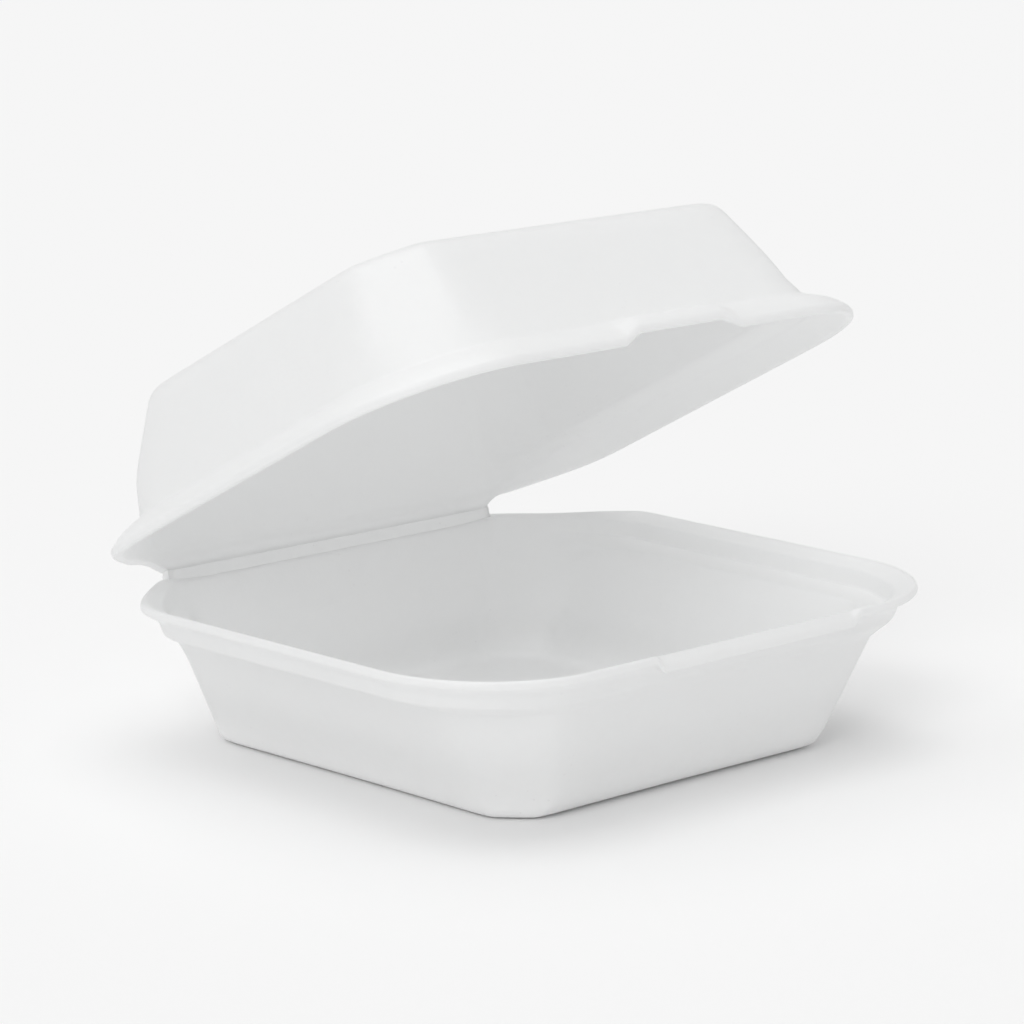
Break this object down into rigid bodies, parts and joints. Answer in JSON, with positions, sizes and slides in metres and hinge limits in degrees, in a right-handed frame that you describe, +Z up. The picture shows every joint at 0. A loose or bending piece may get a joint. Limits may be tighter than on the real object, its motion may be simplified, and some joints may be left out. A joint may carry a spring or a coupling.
{
  "type": "foam clamshell container",
  "caption": "Square hinged food container of white foam: a shallow tray and a deep lid of one moulded sheet, joined at a pressed crease, with flared lips and a lift lock at the front.",
  "frame": {"origin": "on the surface the container rests on, under the middle of the tray's flat base", "axes": "+Z up, X along the crease, +Y towards the crease at the back, -Y towards the closure at the front"},
  "size_m": [0.15, 0.1331, 0.117],
  "materials": {
    "foam": "white polystyrene foam sheet with a soft satin skin"
  },
  "bodies": {
    "tray": {"tray": "foam"},
    "lid": {"lid": "foam"}
  },
  "joints": [
    {"name": "lid_hinge", "type": "hinge", "parent": "tray", "child": "lid", "pos_m": [0, 0.0626, 0.0337], "axis": [-1, 0, 0], "range_deg": [-28.6, 135]}
  ]
}
